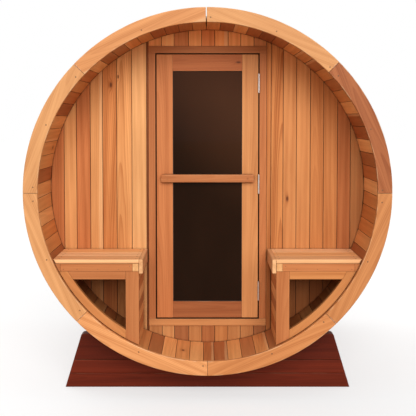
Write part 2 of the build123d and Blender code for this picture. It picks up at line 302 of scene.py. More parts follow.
# ----------------------------------------------------------------- materials
class Net:
    """A short way to write a material's nodes."""

    def __init__(self, name):
        self.m = bpy.data.materials.new(name)
        self.m.use_nodes = True
        self.t = self.m.node_tree
        self.t.nodes.clear()
        self.out = self.t.nodes.new("ShaderNodeOutputMaterial")

    def node(self, kind, **props):
        n = self.t.nodes.new(kind)
        for key, value in props.items():
            setattr(n, key, value)
        return n

    def put(self, socket, value):
        if isinstance(value, bpy.types.NodeSocket):
            self.t.links.new(value, socket)
        else:
            socket.default_value = value

    def math(self, op, a, b=0.0, c=0.0, clamp=False):
        n = self.node("ShaderNodeMath", operation=op, use_clamp=clamp)
        for i, x in enumerate((a, b, c)):
            self.put(n.inputs[i], x)
        return n.outputs[0]

    def sep(self, v):
        n = self.node("ShaderNodeSeparateXYZ")
        self.put(n.inputs[0], v)
        return n.outputs[0], n.outputs[1], n.outputs[2]

    def scaled(self, v, s):
        n = self.node("ShaderNodeVectorMath", operation="MULTIPLY")
        self.put(n.inputs[0], v)
        n.inputs[1].default_value = s
        return n.outputs[0]

    def noise(self, v, scale=1.0, detail=2.0, rough=0.5, dist=0.0):
        n = self.node("ShaderNodeTexNoise")
        self.put(n.inputs["Vector"], v)
        n.inputs["Scale"].default_value = scale
        n.inputs["Detail"].default_value = detail
        n.inputs["Roughness"].default_value = rough
        n.inputs["Distortion"].default_value = dist
        return n.outputs["Fac"]

    def attr(self, name, out="Vector"):
        n = self.node("ShaderNodeAttribute", attribute_name=name)
        return n.outputs[out]

    def span(self, v, a, b, c=0.0, d=1.0, smooth=True):
        n = self.node("ShaderNodeMapRange", interpolation_type="SMOOTHSTEP" if smooth else "LINEAR")
        self.put(n.inputs["Value"], v)
        for key, x in (("From Min", a), ("From Max", b), ("To Min", c), ("To Max", d)):
            self.put(n.inputs[key], x)
        return n.outputs["Result"]

    def mix(self, fac, a, b, mode="MIX"):
        n = self.node("ShaderNodeMix", data_type="RGBA", blend_type=mode)
        self.put(n.inputs[0], fac)
        for s, x in ((n.inputs[6], a), (n.inputs[7], b)):
            self.put(s, x if isinstance(x, bpy.types.NodeSocket) else (*x, 1.0))
        return n.outputs[2]

    def bump(self, height, strength, distance, normal=None):
        n = self.node("ShaderNodeBump")
        n.inputs["Strength"].default_value = strength
        n.inputs["Distance"].default_value = distance
        self.put(n.inputs["Height"], height)
        if normal is not None:
            self.put(n.inputs["Normal"], normal)
        return n.outputs["Normal"]

    def surface(self, **inputs):
        n = self.node("ShaderNodeBsdfPrincipled")
        for key, x in inputs.items():
            self.put(n.inputs[key.replace("_", " ")], x)
        self.t.links.new(n.outputs[0], self.out.inputs[0])
        return self.m


def wood(name, figure=1.0, streak=1.0, rough=0.50, spec=0.20, dark=(0.68, 0.53, 0.42), pale=(1.26, 1.33, 1.42), sapwood=(0.74, 0.47, 0.25), edge_wear_and_highlight=0.12, grime=0.3, tint=(1.0, 1.0, 1.0), crevice_painted_shade=0.85, under_bench_painted_shade=0.0, painted_shade_colour=(0.066, 0.0185, 0.0050), gap_edge_painted_shade=None, height_painted_shade=0.0):
    """Cedar: slow and fine streaks, growth rings round each board's own pith, knots, sapwood, edges paler from wear and
    a painted highlight, and painted shade in crevices, under the benches, along the door gap and towards the bottom.
    """
    n = Net(name)
    dark, pale, sapwood = (tuple(x * t for x, t in zip(c, tint)) for c in (dark, pale, sapwood))
    g = n.attr("grain")
    gx, gy, gz = n.sep(g)
    tone_c = n.attr("tone", "Color")
    endgain = n.attr("tone", "Alpha")
    across, sap, fig = n.sep(n.attr("feat"))
    kx, ky, ks = n.sep(n.attr("knot"))
    endg = n.attr("endgrain", "Fac")
    rim = n.attr("rim", "Fac")

    slow = n.noise(n.scaled(g, (1.1, 8, 8)), 1, 2)
    streak1 = n.noise(n.scaled(g, (0.75, 30, 30)), 1, 3, 0.55)
    streak2 = n.noise(n.scaled(g, (2.6, 115, 115)), 1, 2)
    fibre = n.noise(n.scaled(g, (16, 900, 900)), 1, 2)
    blotch = n.noise(n.scaled(g, (2.2, 10, 10)), 1, 2)

    # distance to the knot, and the swirl round it
    kd = n.math("SQRT", n.math("ADD", n.math("POWER", n.math("MULTIPLY", kx, 0.45), 2.0), n.math("POWER", ky, 2.0)))
    kn = n.math("DIVIDE", kd, ks)
    swirl = n.math("EXPONENT", n.math("MULTIPLY", n.math("POWER", n.math("DIVIDE", kn, 0.019), 2.0), -1.0))

    r = n.math("SQRT", n.math("ADD", n.math("MULTIPLY", gy, gy), n.math("MULTIPLY", gz, gz)))
    r = n.math("ADD", r, n.math("MULTIPLY", gx, 0.016))
    r = n.math("ADD", r, n.math("MULTIPLY", slow, 0.026))
    r = n.math("ADD", r, n.math("MULTIPLY", swirl, 0.012))
    t = n.math("FRACT", n.math("DIVIDE", r, 0.0062))
    late = n.math("MULTIPLY", n.span(t, 0.35, 0.90), n.span(t, 1.0, 0.93))
    group = n.math("SINE", n.math("MULTIPLY", r, 2 * math.pi / 0.031))

    shade = n.math("ADD", 0.50, n.math("MULTIPLY", n.math("SUBTRACT", streak1, 0.5), 0.80 * streak))
    shade = n.math("ADD", shade, n.math("MULTIPLY", n.math("SUBTRACT", streak2, 0.5), 0.42 * streak))
    shade = n.math("ADD", shade, n.math("MULTIPLY", n.math("SUBTRACT", blotch, 0.5), 0.40))
    shade = n.math("ADD", shade, n.math("MULTIPLY", n.math("SUBTRACT", fibre, 0.5), 0.18))
    shade = n.math("ADD", shade, n.math("MULTIPLY", n.math("MULTIPLY", group, fig), 0.075 * figure))
    shade = n.math("SUBTRACT", shade, n.math("MULTIPLY", n.math("MULTIPLY", late, fig), 0.15 * figure))
    shade = n.math("SUBTRACT", shade, n.math("MULTIPLY", swirl, 0.30))
    shade = n.math("ADD", shade, 0.05, clamp=True)

    dark_c = n.mix(1.0, tone_c, dark, "MULTIPLY")
    n2 = n.node("ShaderNodeVectorMath", operation="MULTIPLY")
    n.put(n2.inputs[0], tone_c)
    n2.inputs[1].default_value = pale
    colour = n.mix(shade, dark_c, n2.outputs[0])

    edge = n.math("ADD", across, n.math("MULTIPLY", n.math("SUBTRACT", slow, 0.5), 0.9))
    sapmask = n.span(n.math("SUBTRACT", edge, sap), -0.05, 0.07)
    sap_c = n.mix(n.math("MULTIPLY", late, 0.35), sapwood, tuple(x * 0.72 for x in sapwood))
    colour = n.mix(n.math("MULTIPLY", sapmask, 0.5), colour, sap_c)

    core = n.span(kn, 0.0085, 0.0052)
    ring = n.math("MULTIPLY", n.span(kn, 0.0125, 0.0088), n.math("SUBTRACT", 1.0, core))
    colour = n.mix(n.math("MULTIPLY", core, 0.85), colour, (0.105, 0.032, 0.013))
    colour = n.mix(n.math("MULTIPLY", ring, 0.45), colour, (0.22, 0.075, 0.03))

    # end grain drinks more oil; rounded edges are paler, partly wear and partly a painted highlight
    grey = n.node("ShaderNodeVectorMath", operation="SCALE")
    n.put(grey.inputs[0], colour)
    n.put(grey.inputs["Scale"], endgain)
    colour = n.mix(endg, colour, grey.outputs[0])
    worn_and_lit_edge = n.math("MULTIPLY", rim, n.span(n.noise(n.scaled(g, (9, 60, 60)), 1, 3), 0.42, 0.62))
    colour = n.mix(n.math("MULTIPLY", worn_and_lit_edge, edge_wear_and_highlight), colour, (0.78, 0.52, 0.30))
    dirt = n.math("MULTIPLY", n.span(n.noise(n.scaled(g, (5, 22, 22)), 1, 4, 0.6), 0.60, 0.78), 0.16 * grime)
    colour = n.mix(dirt, colour, (0.16, 0.075, 0.035))

    if height_painted_shade > 0:                                 # painted shade and light: boards darker towards the bottom and paler towards the top
        high = n.node("ShaderNodeTexCoord").outputs["Object"]
        low_painted_shade = n.span(n.math("ADD", n.sep(high)[2], n.math("MULTIPLY", n.math("SUBTRACT", blotch, 0.5), 0.25)), AX + 0.80, AX - 0.45, smooth=False)
        clean = n.mix(1.0, colour, (1.12, 1.09, 1.07), "MULTIPLY")
        colour = n.mix(n.math("MULTIPLY", low_painted_shade, height_painted_shade), clean, n.mix(1.0, colour, (0.84, 0.82, 0.80), "MULTIPLY"))

    # painted shade: the inner faces of staves and walls under the benches, inside the porch, are darkened by place
    if under_bench_painted_shade > 0:
        wx, wy, wz = n.sep(n.node("ShaderNodeTexCoord").outputs["Object"])
        up = n.math("SUBTRACT", wz, AX)
        inside = n.span(n.math("SQRT", n.math("ADD", n.math("MULTIPLY", wx, wx), n.math("MULTIPLY", up, up))), 0.990, 0.984)
        beside = n.span(n.math("ABSOLUTE", wx), 0.362, 0.430)
        below = n.span(up, -0.415, -0.450)
        porch = n.span(wy, W1, W1 - 0.01)
        where = n.math("MULTIPLY", n.math("MULTIPLY", inside, beside), n.math("MULTIPLY", below, porch))
        colour = n.mix(n.math("MULTIPLY", where, under_bench_painted_shade), colour, n.mix(1.0, colour, (0.52, 0.40, 0.31), "MULTIPLY"))

    # painted shadow: a dark band along the leaf's edges and the casing's opening, where the gap between them lies
    if gap_edge_painted_shade:
        half, bottom, top, far, near = gap_edge_painted_shade
        wx, wy, wz = n.sep(n.node("ShaderNodeTexCoord").outputs["Object"])
        up = n.math("SUBTRACT", wz, AX)
        off = n.math("MAXIMUM", n.math("SUBTRACT", n.math("ABSOLUTE", wx), half), n.math("MAXIMUM", n.math("SUBTRACT", up, top), n.math("SUBTRACT", bottom, up)))
        gap_shade_mask = n.math("MULTIPLY", n.span(off, far, near), n.span(wy, FACE + 0.012, FACE + 0.004))
        colour = n.mix(n.math("MULTIPLY", gap_shade_mask, 0.90), colour, painted_shade_colour)

    # painted shade in crevices, joints and under parts: where nearby surfaces close in, the colour is darkened towards
    # the shade colour
    nook = n.node("ShaderNodeAmbientOcclusion", samples=6)
    nook.inputs["Distance"].default_value = 0.028
    crevice_shade = n.span(nook.outputs["AO"], 0.62, 0.26, smooth=False)
    colour = n.mix(n.math("MULTIPLY", crevice_shade, crevice_painted_shade), colour, painted_shade_colour)

    rough_v = n.math("ADD", rough, n.math("MULTIPLY", n.math("SUBTRACT", fibre, 0.5), 0.20))
    rough_v = n.math("ADD", rough_v, n.math("MULTIPLY", late, -0.05))
    rough_v = n.math("ADD", rough_v, n.math("MULTIPLY", endg, 0.12), clamp=True)
    h = n.math("ADD", n.math("MULTIPLY", late, 0.45), n.math("MULTIPLY", fibre, 0.75))
    h = n.math("ADD", h, n.math("MULTIPLY", streak2, 0.6))
    h = n.math("SUBTRACT", h, n.math("MULTIPLY", core, 1.0))
    return n.surface(Base_Color=colour, Roughness=rough_v, Specular_IOR_Level=spec, Normal=n.bump(h, 0.45, 0.0006))


M_SHELL = wood("cedar_staves", 0.9, 0.9, 0.56, 0.16, tint=(1.14, 1.03, 0.92), under_bench_painted_shade=0.70)
M_RING = wood("cedar_ring", 1.05, 0.75, 0.48, 0.20, edge_wear_and_highlight=0.40, crevice_painted_shade=0.45, tint=(1.02, 0.95, 0.93))
M_WALL = wood("cedar_wall", 1.0, 0.85, 0.54, 0.14, tint=(1.065, 0.965, 0.88), under_bench_painted_shade=0.95, height_painted_shade=1.0)
M_DOOR = wood("cedar_door", 1.0, 0.70, 0.48, 0.16, tint=(1.06, 0.97, 0.90), crevice_painted_shade=0.96, painted_shade_colour=(0.030, 0.0095, 0.0035), gap_edge_painted_shade=(0.318, LEAF_BOT, LEAF_TOP, -0.0030, -0.0010))
M_CASE = wood("cedar_casing", 0.8, 0.70, 0.50, 0.16, tint=(1.04, 0.95, 0.88), crevice_painted_shade=0.96, painted_shade_colour=(0.030, 0.0095, 0.0035), gap_edge_painted_shade=(OPEN_HALF, OPEN_BOT, OPEN_TOP, 0.0030, 0.0010))
M_BENCH = wood("cedar_bench", 0.9, 0.80, 0.52, 0.14, edge_wear_and_highlight=0.04, crevice_painted_shade=0.62, tint=(1.06, 0.99, 0.93))
M_FLOOR = wood("cedar_floor", 1.0, 1.0, 0.60, 0.16, grime=0.8)
M_CRADLE = wood("mahogany_stain", 0.9, 0.9, 0.48, 0.12, dark=(0.62, 0.55, 0.55), pale=(1.55, 1.5, 1.45), sapwood=(0.09, 0.02, 0.014), edge_wear_and_highlight=0.04, grime=0.0)


def steel(name, base, rough, direction):
    """Brushed steel: fine scratches one way, faint smudges."""
    n = Net(name)
    co = n.node("ShaderNodeTexCoord").outputs["Object"]
    scratch = n.noise(n.scaled(co, direction), 1, 3, 0.6)
    smudge = n.noise(co, 28, 3, 0.55)
    colour = n.mix(n.span(smudge, 0.40, 0.68), base, tuple(x * 0.78 for x in base))
    colour = n.mix(n.math("MULTIPLY", n.span(scratch, 0.45, 0.7), 0.35), colour, tuple(min(1, x * 1.25) for x in base))
    rv = n.math("ADD", rough, n.math("MULTIPLY", n.math("SUBTRACT", scratch, 0.5), 0.30))
    rv = n.math("ADD", rv, n.math("MULTIPLY", n.math("SUBTRACT", smudge, 0.5), 0.25), clamp=True)
    return n.surface(Base_Color=colour, Metallic=1.0, Roughness=rv, Normal=n.bump(scratch, 0.25, 0.0002))


M_HINGE = steel("hinge_steel", (0.86, 0.85, 0.84), 0.32, (700, 700, 30))
M_HOOP = steel("hoop_steel", (0.58, 0.585, 0.59), 0.36, (22, 900, 22))
M_SCREW = steel("screw_steel", (0.17, 0.105, 0.065), 0.50, (300, 300, 300))


def glass():
    n = Net("bronze_glass")
    co = n.node("ShaderNodeTexCoord").outputs["Object"]
    x, y, z = n.sep(co)
    sheen_mottle = n.noise(n.scaled(co, (3, 3, 1.2)), 1, 3, 0.5)
    wipe = n.noise(n.scaled(co, (90, 90, 9)), 1, 3, 0.6)
    # painted reflection: the glass runs from near black at the lower left to a warm brown sheen at the upper right
    slant = n.math("ADD", z, n.math("MULTIPLY", x, 0.9))
    painted_sheen = n.math("ADD", n.span(slant, 1.12, 1.98, 0.06, 1.0), n.math("MULTIPLY", n.math("SUBTRACT", sheen_mottle, 0.5), 0.35), clamp=True)
    colour = n.mix(painted_sheen, (0.0100, 0.0032, 0.0008), (0.056, 0.0205, 0.0085))
    rough = n.math("ADD", 0.03, n.math("MULTIPLY", n.span(wipe, 0.5, 0.75), 0.05))
    return n.surface(Base_Color=colour, Roughness=rough, IOR=1.50, Specular_IOR_Level=0.14, Normal=n.bump(n.noise(co, 5.0, 1), 0.03, 0.002))


M_GLASS = glass()


def rubber():
    n = Net("glazing_seal")
    co = n.node("ShaderNodeTexCoord").outputs["Object"]
    grain = n.noise(co, 900, 2)
    colour = n.mix(n.noise(co, 40, 3), (0.010, 0.008, 0.007), (0.022, 0.017, 0.014))
    return n.surface(Base_Color=colour, Roughness=n.math("ADD", 0.6, n.math("MULTIPLY", grain, 0.2)), Normal=n.bump(grain, 0.3, 0.0002))


M_SEAL = rubber()

rad = math.radians


def pol(r, a):
    return (r * math.cos(rad(a)), r * math.sin(rad(a)))


# ---------------------------------------------------------------- the staves
# tone of each stave, from the crown joint down the left to the keel, then up the right
LEFT = ["mid", "brown", "dark", "dark", "mid", "orange", "brown", "brown", "palest", "reddish",
        "mid", "reddish", "dark", "light", "light", "light", "light", "dark", "light", "light",
        "palest", "orange", "mid", "dark", "mid", "light", "brown", "mid", "light", "reddish",
        "mid", "orange", "mid", "brown", "light", "mid", "light"]
RIGHT = ["dark", "light", "brown", "mid", "brown", "mid", "orange", "light", "brown", "mid",
         "light", "reddish", "mid", "dark", "light", "orange", "orange", "mid", "palest", "reddish",
         "brown", "palest", "dark", "dark", "palest", "mid", "brown", "mid", "brown", "mid",
         "mid", "dark", "darkest", "dark", "light", "dark", "mid"]
joint = lambda k: PHASE + k * PITCH
staves = [(joint(i), joint(i + 1), t, i) for i, t in enumerate(LEFT)]
staves.append((joint(37), joint(-37) + 360, "reddish", 100))
staves += [(joint(-37 + i) + 360, joint(-36 + i) + 360, t, 37 + i) for i, t in enumerate(RIGHT)]
SEGMENTS = {"shell_crown": (-4, 4), "shell_left_shoulder": (4, 11), "shell_left_upper": (11, 18),
            "shell_left_middle": (18, 26), "shell_left_lower": (26, 33), "shell_keel": (33, -33),
            "shell_right_lower": (-33, -26), "shell_right_middle": (-26, -18),
            "shell_right_upper": (-18, -11), "shell_right_shoulder": (-11, -4)}


def stave_outline(half, lo=0.0, hi=0.0):
    """Radial section of a stave; lo and hi open its inner edges near the crown."""
    g = 0.0010
    t = math.tan(rad(half))
    w = lambda v: v * t
    return [(-w(S_IN) + g + lo, S_IN, 0.0022), (w(S_IN) - g - hi, S_IN, 0.0022),
            (w(0.991) - g - hi, 0.991), (w(0.994), 0.994), (w(1.006), 1.006), (w(1.009) - g, 1.009),
            (w(1.018) - g, 1.018, 0.003), (-w(1.018) + g, 1.018, 0.003),
            (-w(1.009) + g, 1.009), (-w(1.006), 1.006), (-w(0.994), 0.994), (-w(0.991) + g + lo, 0.991)]


for name, (k0, k1) in SEGMENTS.items():
    a0 = joint(k0) if k0 >= 0 or name == "shell_crown" else joint(k0) + 360
    a1 = joint(k1) if k1 >= 0 and name != "shell_keel" else joint(k1) + 360
    if name == "shell_crown":
        a0, a1 = joint(-4), joint(4)
    part = Boards(name + "_staves")
    for s0, s1, t, idx in staves:
        mid = (s0 + s1) / 2
        if not any(a0 < m < a1 for m in (mid, mid - 360, mid + 360)):
            continue
        rng = random.Random(4000 + idx)
        half = (s1 - s0) / 2
        a = rad(mid)
        stations = None
        pts = stave_outline(half)
        if idx in (0, 73):
            op = lambda q: (q, 0.0) if idx == 0 else (0.0, q)
            pts = stave_outline(half, *op(0.0034))
            stations = [(SH0 + 0.12, stave_outline(half, *op(0.0026))), (SH0 + 0.36, stave_outline(half, *op(0.0004))),
                        (SH0 + 0.6, stave_outline(half))]
        knot = None
        if idx in (35, 15):
            kr = {35: -0.99, 15: -0.85}[idx]
            knot = (0.981 * math.cos(a), kr, AX + 0.981 * math.sin(a), 1.0)
        # painted shade and light: staves under the benches take 0.80 of their tone, those at the crown 1.16 and at the
        # keel 1.28
        part.add(pts, SH0, SH1, (0, 0, AX), (-math.sin(a), 0, math.cos(a)), (math.cos(a), 0, math.sin(a)), (0, 1, 0),
                 (0, 0, 1), (1, 0, 0), tone(t, rng, 0.80 if 24 <= idx <= 31 or 42 <= idx <= 49 else 1.16 if idx < 6 or 66 < idx < 100 else 1.28 if 33 < idx < 41 else 1.0), rng, e0=0.0015, e1=0.0015, steps=2, k=3,
                 middle=stations, fig=rng.uniform(0.5, 1.3), sap=rng.choice([9, 9, 9, 9, 0.6]), knot=knot)
    part.make(M_SHELL, "building", "wood_shell", [name])

# ---------------------------------------------------------------- trim rings
RING_TONES = ["redder", "light", "mid", "light", "light", "mid", "orange", "orange"]
RING_GAIN = [0.74, 0.96, 1.12, 0.955, 0.99, 1.27, 1.02, 0.90]


RING_JOINTS = [0.0, 45.0, 90.4, 135.9, 180.0, 224.5, 270.0, 314.5, 360.0]


def ring_boards(name, y0, y1, top_gap, outside_low, tones, seed):
    part = Boards(name + "_boards")
    for k in range(8):
        rng = random.Random(seed + k)
        g0 = (top_gap if k == 2 else 0.0013) / 2
        g1 = (top_gap if k == 1 else 0.0013) / 2
        a0, a1 = RING_JOINTS[k], RING_JOINTS[k + 1]
        off = lambda g, r: math.degrees(math.asin(g / r))
        pts = []
        N = 30
        for i in range(N + 1):
            s, e = a0 + off(g0, R_OUT), a1 - off(g1, R_OUT)
            pts.append((*pol(R_OUT, s + (e - s) * i / N), 0.0015 if i in (0, N) else 0))
        for i in range(N + 1):
            s, e = a1 - off(g1, R_IN), a0 + off(g0, R_IN)
            pts.append((*pol(R_IN, s + (e - s) * i / N), 0.0015 if i in (0, N) else 0))
        mask = [1.0] * len(pts)
        mask[N] = 0.3
        mask[-1] = 0.3
        am = rad((a0 + a1) / 2)
        streaked = -1 if k == 2 and outside_low else 1
        front, back = (0.0045, 0.0015) if outside_low else (0.0015, 0.0045)
        part.facing(pts, y0, y1, (-math.sin(am), math.cos(am)), (streaked * math.cos(am), streaked * math.sin(am)),
                    tone(tones[k], rng, RING_GAIN[k], 0.02), rng, back=back, front=front, steps=4, mask=mask,
                    pith=(rng.uniform(-0.10, 0.10), 0.05), fig=[1.9, 0.9, 1.1, 0.9, 1.0, 1.7, 1.2, 1.2][k],
                    sap=0.30 if streaked < 0 else 9)
    return part.make(M_RING, "building", "wood_ring", [name])


PROUD = 0.0005        # screw heads end at the object's full length, and the ring faces lie this much inside it
ring_boards("front_trim_ring", Y0 + PROUD, SH0, 0.0056, True, RING_TONES, 510)
ring_boards("rear_trim_ring", SH1, Y1 - PROUD, 0.0024, False, ["mid", "light", "orange", "mid", "light", "reddish", "light", "mid"], 560)


# ----------------------------------------------------------------- end walls
OPEN_JOINT = 0.0013                              # half the open joint between boards


def wall_board(part, x0, x1, y0, y1, colour, rng, zlo=None, zhi=None, front=0.0020, back=0.0020, **kw):
    """A vertical board from x0 to x1, cut to the barrel's curve where no height is given."""
    pts = []
    r = WALL_R
    zc = lambda x: math.sqrt(max(0.0, r * r - x * x))
    steps = 8
    joint_at = x1
    outer = lambda x: abs(x) > 0.999 * r
    x0, x1 = (x0 if outer(x0) else x0 + OPEN_JOINT), (x1 if outer(x1) else x1 - OPEN_JOINT)
    if not outer(joint_at):                        # the tongue that closes the joint behind its face
        lo = zlo if zlo is not None else -zc(abs(joint_at) + 0.004) + 0.0005
        hi = zhi if zhi is not None else zc(abs(joint_at) + 0.004) - 0.0005
        # the tongue takes a dark tone: painted shade in the open joint in front of it
        part.facing([(joint_at - 0.004, lo), (joint_at + 0.004, lo), (joint_at + 0.004, hi), (joint_at - 0.004, hi)], y0 + 0.011, y1 - 0.011,
                    (0, 1), (1, 0), tone("dark", random.Random(5), 0.7, 0.0), random.Random(5), back=0.0, front=0.0)
    if zlo is None:
        xs = [x0 + (x1 - x0) * i / steps for i in range(steps + 1)]
        pts += [(x, -zc(x)) for x in xs]
    else:
        pts += [(x0, zlo), (x1, zlo)]
    if zhi is None:
        xs = [x1 + (x0 - x1) * i / steps for i in range(steps + 1)]
        pts += [(x, zc(x)) for x in xs]
    else:
        pts += [(x1, zhi), (x0, zhi)]
    clean = []
    for p in pts:                                  # an outermost board has no side at the curve
        if not clean or math.dist(p, clean[-1]) > 1e-6:
            clean.append(p)
    if math.dist(clean[0], clean[-1]) < 1e-6:
        clean.pop()
    part.facing(clean, y0, y1, (0, 1), (1, 0), colour, rng, back=back, front=front, steps=2, **kw)


LJ = [-WALL_R * 0.99999, -0.896, -0.8186, -0.732, -0.655, -0.567, -0.472, -0.380, -CAS_HALF]
# the last strip, beside the casing, takes the darkest tone: a painted shadow of the casing
LT = ["reddish", "light", "reddish", "light", "orange", "light", "palest", "darkest"]
LG = [1.05, 0.98, 1.06, 0.98, 0.97, 1.01, 0.92, 1.0]
wl = Boards("front_wall_left_boards")
for i, (x0, x1) in enumerate(zip(LJ[:-1], LJ[1:])):
    rng = random.Random(700 + i)
    knot = None
    if i == 4:
        knot = (-0.601, W0, AX + 0.639, 0.85)
    if i == 5:
        knot = (-0.556, W0, AX + 0.690, 0.55)
    wall_board(wl, x0, x1, W0, W1, tone(LT[i], rng, LG[i], 0.03), rng, sap={3: 0.55}.get(i, 9),
               fig=[1, 0.9, 1.5, 1.2, 1.9, 2.0, 1.1, 0.5][i], knot=knot, pith=(rng.uniform(-0.05, 0.05), 0.04) if i in (3, 5) else None)
wl.make(M_WALL, "building", "wood_wall", ["front_wall_left"])

RJ = [CAS_HALF, 0.3975, 0.473, 0.556, 0.6428, 0.726, 0.813, 0.8946, WALL_R * 0.99999]
RT = ["orange", "orange", "mid", "mid", "orange", "orange", "reddish", "mid"]
wr = Boards("front_wall_right_boards")
for i, (x0, x1) in enumerate(zip(RJ[:-1], RJ[1:])):
    rng = random.Random(740 + i)
    knot = (0.500, W0, AX - 0.072, 0.95) if i == 2 else None
    wall_board(wr, x0, x1, W0, W1, tone(RT[i], rng, [0.93, 0.93, 1.02, 1.03, 0.92, 0.92, 0.98, 0.84][i], 0.02), rng, sap=9,
               fig=[2.0, 3.4, 1.3, 0.9, 1.0, 1.3, 1.1, 1.0][i], knot=knot, pith=(rng.uniform(-0.03, 0.03), 0.03) if i in (1, 4) else None)
wr.make(M_WALL, "building", "wood_wall", ["front_wall_right"])

OJ = [-CAS_HALF, -0.285, -0.2076, -0.1178, -0.036, 0.0455, 0.129, 0.2075, 0.2904, CAS_HALF]
OT = ["mid", "light", "brown", "mid", "reddish", "orange", "mid", "mid", "brown"]
wo = Boards("front_wall_over_door_boards")
wu = Boards("front_wall_under_door_boards")
for i, (x0, x1) in enumerate(zip(OJ[:-1], OJ[1:])):
    rng = random.Random(780 + i)
    # painted light and shade: each board's tone at 1.46 above the door and 0.86 below it
    wall_board(wo, x0, x1, W0, W1, tone(OT[i], rng, 1.46, 0.03), rng, zlo=CAS_TOP, sap={5: 0.35}.get(i, 9))
    wall_board(wu, x0, x1, W0, W1, tone(OT[i], rng, 0.86, 0.03), rng, zhi=SILL_BOT)
wo.make(M_WALL, "building", "wood_wall", ["front_wall_over_door"])
wu.make(M_WALL, "building", "wood_wall", ["front_wall_under_door"])

rw = Boards("rear_wall_boards")
REAR_T = ["mid", "light", "reddish", "mid", "orange", "light", "palest", "mid", "reddish", "light", "mid", "dark",
          "light", "orange", "mid", "light", "reddish", "mid", "light", "orange", "mid", "light", "mid"]
nb = 22
for i in range(nb):
    rng = random.Random(820 + i)
    x0, x1 = (-WALL_R + 2 * WALL_R * j / nb for j in (i, i + 1))
    x0, x1 = max(x0, -WALL_R * 0.99999), min(x1, WALL_R * 0.99999)
    knot = {4: (x0 + 0.03, RW1, AX + 0.35, 1.1), 13: (x0 + 0.05, RW1, AX - 0.42, 1.0), 17: (x0 + 0.04, RW1, AX + 0.12, 0.9)}.get(i)
    wall_board(rw, x0, x1, RW0, RW1, tone(REAR_T[i], rng, 1.0, 0.04), rng, sap=rng.choice([9, 9, 9, 0.6]), knot=knot,
               fig=rng.uniform(0.6, 1.4))
rw.make(M_WALL, "building", "wood_wall", ["rear_wall"])

# -------------------------------------------------------------------- casing
R3, R15 = 0.0022, 0.0015
cj = Boards("door_jamb_boards")
for s, t in ((-1, "reddish"), (1, "reddish")):
    rng = random.Random(900 + s)
    xs = sorted((s * OPEN_HALF, s * CAS_HALF))
    cj.upright([(xs[0], FACE, R3), (xs[1], FACE, R3), (xs[1], STOP1, R15), (xs[0], STOP1, R15)], OPEN_BOT, OPEN_TOP,
               tone(t, rng, 0.88 if s < 0 else 1.0, 0.02), rng, e=0.0006)
    xs = sorted((s * (OPEN_HALF - 0.012), s * OPEN_HALF))
    # the stop takes the darkest tone at 0.35: painted shade in the gap round the leaf
    cj.upright([(xs[0], STOP0, R15), (xs[1], STOP0), (xs[1], STOP1), (xs[0], STOP1, R15)], OPEN_BOT, OPEN_TOP, tone("darkest", rng, 0.35), rng, e=0.0004)
cj.make(M_CASE, "building", "wood_casing", ["door_jambs"])

ch = Boards("door_head_boards")
rng = random.Random(905)
ch.level([(FACE, OPEN_TOP, R3), (STOP1, OPEN_TOP, R15), (STOP1, CAS_TOP, R15), (FACE, CAS_TOP, R3)], -CAS_HALF, CAS_HALF,
         tone("reddish", rng, 0.90, 0.02), rng, across=(0, 1, 0))
# the stop takes the darkest tone at 0.35: painted shade in the gap round the leaf
ch.level([(STOP0, OPEN_TOP - 0.012, R15), (STOP1, OPEN_TOP - 0.012, R15), (STOP1, OPEN_TOP), (STOP0, OPEN_TOP)],
         -OPEN_HALF + 0.012, OPEN_HALF - 0.012, tone("darkest", rng, 0.35), rng)
ch.make(M_CASE, "building", "wood_casing", ["door_head"])

cs = Boards("door_sill_boards")
rng = random.Random(906)
cs.level([(FACE - 0.003, SILL_BOT, R3), (STOP1, SILL_BOT, R15), (STOP1, OPEN_BOT, R15), (FACE - 0.003, OPEN_BOT, 0.004)], -CAS_HALF, CAS_HALF,
         tone("mid", rng, 0.92, 0.02), rng, e=0.002, across=(0, 1, 0))
# the stop takes the darkest tone at 0.35: painted shade in the gap round the leaf
cs.level([(STOP0, OPEN_BOT), (STOP1, OPEN_BOT), (STOP1, OPEN_BOT + 0.012, R15), (STOP0, OPEN_BOT + 0.012, R15)],
         -OPEN_HALF + 0.012, OPEN_HALF - 0.012, tone("darkest", rng, 0.35), rng)
cs.make(M_CASE, "building", "wood_sill", ["door_sill"])

# ---------------------------------------------------------------- door leaf
GH = LEAF_HALF - STILE_W
ds = Boards("door_stile_boards")
for s, t, gain in ((-1, "reddish", 1.04), (1, "mid", 0.97)):
    rng = random.Random(920 + s)
    xs = sorted((s * GH, s * LEAF_HALF))
    ds.upright([(xs[0], FACE, 0.0022), (xs[1], FACE, 0.0022), (xs[1], LEAF1, 0.003), (xs[0], LEAF1, 0.003)], LEAF_BOT, LEAF_TOP,
               tone(t, rng, gain, 0.02), rng, e=0.003, steps=3, pith=(s * 0.05, 0.06))
ds.make(M_DOOR, "door", "wood_door", ["door_stiles"])

dr = Boards("door_rail_boards")
for z0, t, gain, knot in ((LEAF_TOP - RAIL_H, "redder", 0.92, (0.193, FACE, AX + 0.779, 0.8)), (LEAF_BOT, "redder", 0.66, None)):
    rng = random.Random(930 + int(z0 * 10))
    dr.level([(FACE, z0, 0.0035), (LEAF1, z0, 0.003), (LEAF1, z0 + RAIL_H, 0.003), (FACE, z0 + RAIL_H, 0.0035)], -GH + 0.0002, GH - 0.0002,
             tone(t, rng, gain, 0.02), rng, e=0.0008, across=(0, 1, 0), pith=(0.02, 0.07), knot=knot)
dr.make(M_DOOR, "door", "wood_door", ["door_rails"])

